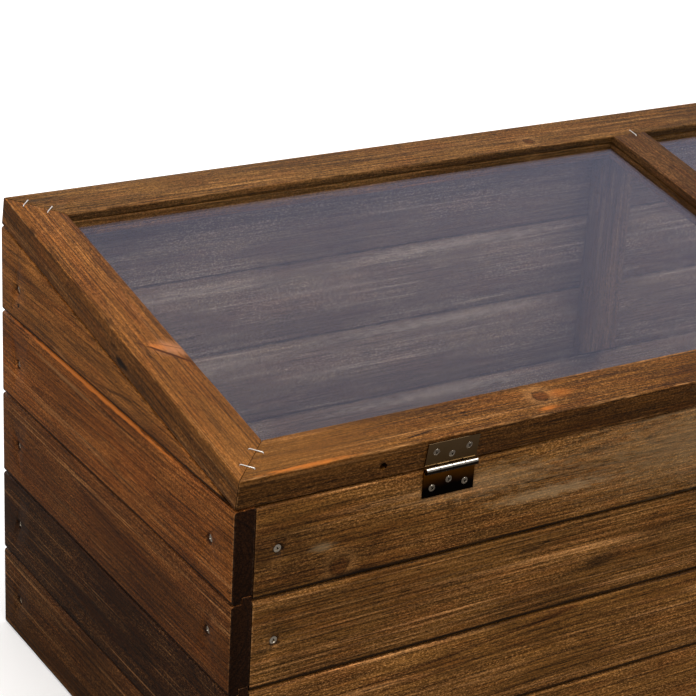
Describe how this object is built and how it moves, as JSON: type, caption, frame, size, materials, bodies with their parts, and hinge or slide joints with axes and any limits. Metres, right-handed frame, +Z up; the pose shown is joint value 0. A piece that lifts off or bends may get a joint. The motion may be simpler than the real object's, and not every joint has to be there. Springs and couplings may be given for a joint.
{
  "type": "cold frame",
  "caption": "Low wooden box of lapped boards with a sloping glazed lid hinged along its low front edge, standing open-bottomed on the ground.",
  "frame": {"origin": "on the ground, in the middle of the box's footprint", "axes": "+X along the front, to the right when facing the low hinged side; +Y from the low front to the high back; +Z up"},
  "size_m": [1.37, 0.4565, 0.4436],
  "materials": {
    "box_wood": "brown stained softwood, satin",
    "side_wood": "brown stained softwood, satin, with dark end grain",
    "frame_wood": "brown stained sawn softwood",
    "lid_wood": "brown stained planed softwood, satin",
    "glazing": "clear glossy sheet",
    "hinge_steel": "bright plated steel",
    "screw_steel": "plated steel",
    "staple_steel": "bright galvanised wire"
  },
  "bodies": {
    "box": {"front_board_1": "box_wood", "front_board_2": "box_wood", "front_board_3": "box_wood", "front_board_4": "box_wood", "back_board_1": "box_wood", "back_board_2": "box_wood", "back_board_3": "box_wood", "back_board_4": "box_wood", "back_board_5": "box_wood", "left_board_1": "side_wood", "left_board_2": "side_wood", "left_board_3": "side_wood", "left_board_4": "side_wood", "left_wedge_board": "side_wood", "right_board_1": "side_wood", "right_board_2": "side_wood", "right_board_3": "side_wood", "right_board_4": "side_wood", "right_wedge_board": "side_wood", "front_left_post": "frame_wood", "front_right_post": "frame_wood", "back_left_post": "frame_wood", "back_right_post": "frame_wood", "front_batten": "frame_wood", "back_batten": "frame_wood", "front_screws": "screw_steel", "back_screws": "screw_steel", "left_screws": "screw_steel", "right_screws": "screw_steel", "left_hinge_box_leaf": "hinge_steel", "left_hinge_pin": "hinge_steel", "right_hinge_box_leaf": "hinge_steel", "right_hinge_pin": "hinge_steel", "hinge_box_screws": "hinge_steel"},
    "lid": {"lid_front_rail": "lid_wood", "lid_back_rail": "lid_wood", "lid_left_rail": "lid_wood", "lid_right_rail": "lid_wood", "lid_middle_bar": "lid_wood", "left_pane": "glazing", "right_pane": "glazing", "corner_staples": "staple_steel", "bar_staples": "staple_steel", "left_hinge_lid_leaf": "hinge_steel", "right_hinge_lid_leaf": "hinge_steel", "hinge_lid_screws": "hinge_steel"}
  },
  "joints": [
    {"name": "lid_hinge", "type": "hinge", "parent": "box", "child": "lid", "pos_m": [0, -0.2284, 0.33169], "axis": [1, 0, 0], "range_deg": [0, 165]}
  ]
}
